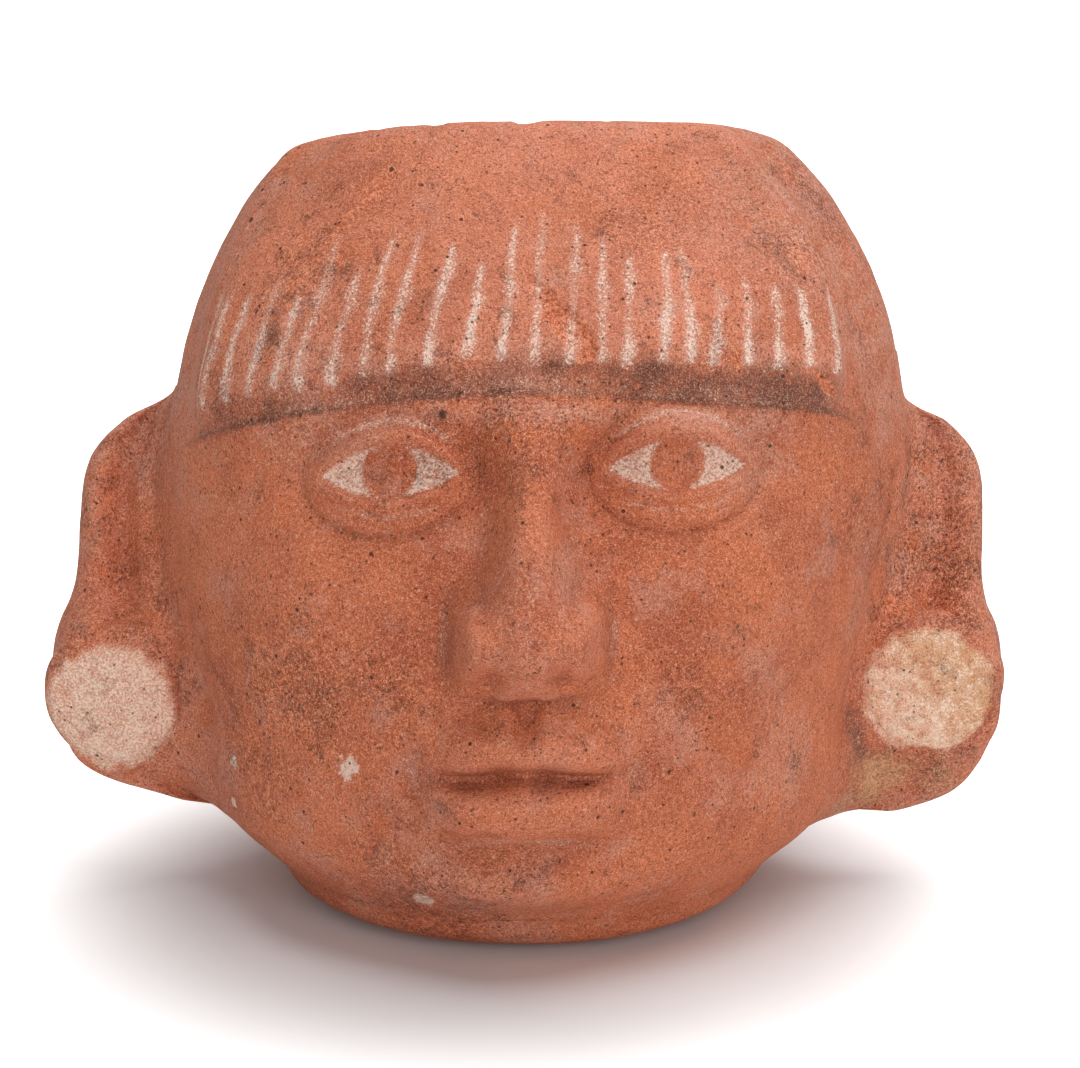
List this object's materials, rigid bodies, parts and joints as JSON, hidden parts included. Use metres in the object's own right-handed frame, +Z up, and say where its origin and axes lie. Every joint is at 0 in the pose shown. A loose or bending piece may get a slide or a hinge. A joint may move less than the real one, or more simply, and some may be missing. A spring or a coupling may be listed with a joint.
{
  "type": "portrait head vessel",
  "caption": "Open fired-clay vessel shaped as a human head, with ear flanges, round ear spools, a hair fringe and a flat foot.",
  "frame": {"origin": "centre of the flat foot, on the surface the vessel stands on", "axes": "+Z up, -Y the way the face looks, +X to the right for someone looking at the face"},
  "size_m": [0.1606, 0.1364, 0.1306],
  "materials": {
    "clay_face": "unglazed terracotta, burnished, worn, with cream slip on the eyes",
    "clay_back": "unglazed terracotta, burnished",
    "clay_base": "unglazed terracotta, rubbed by standing",
    "clay_rim": "unglazed terracotta, smoothed and worn",
    "clay_hair": "unglazed terracotta with worn strokes of cream slip and chipped spots",
    "clay_ear_left": "unglazed terracotta, burnished",
    "clay_ear_right": "unglazed terracotta, burnished",
    "slip_spool_left": "worn cream slip over terracotta",
    "slip_spool_right": "worn cream slip over terracotta",
    "clay_inside": "unglazed terracotta, finger smoothed"
  },
  "bodies": {
    "root": {"face_half": "clay_face", "back_half": "clay_back", "base_disc": "clay_base", "rim_coil": "clay_rim", "hair_fringe": "clay_hair", "ear_left": "clay_ear_left", "ear_right": "clay_ear_right", "ear_spool_left": "slip_spool_left", "ear_spool_right": "slip_spool_right", "seam_coil_left": "clay_inside", "seam_coil_right": "clay_inside"}
  },
  "joints": []
}
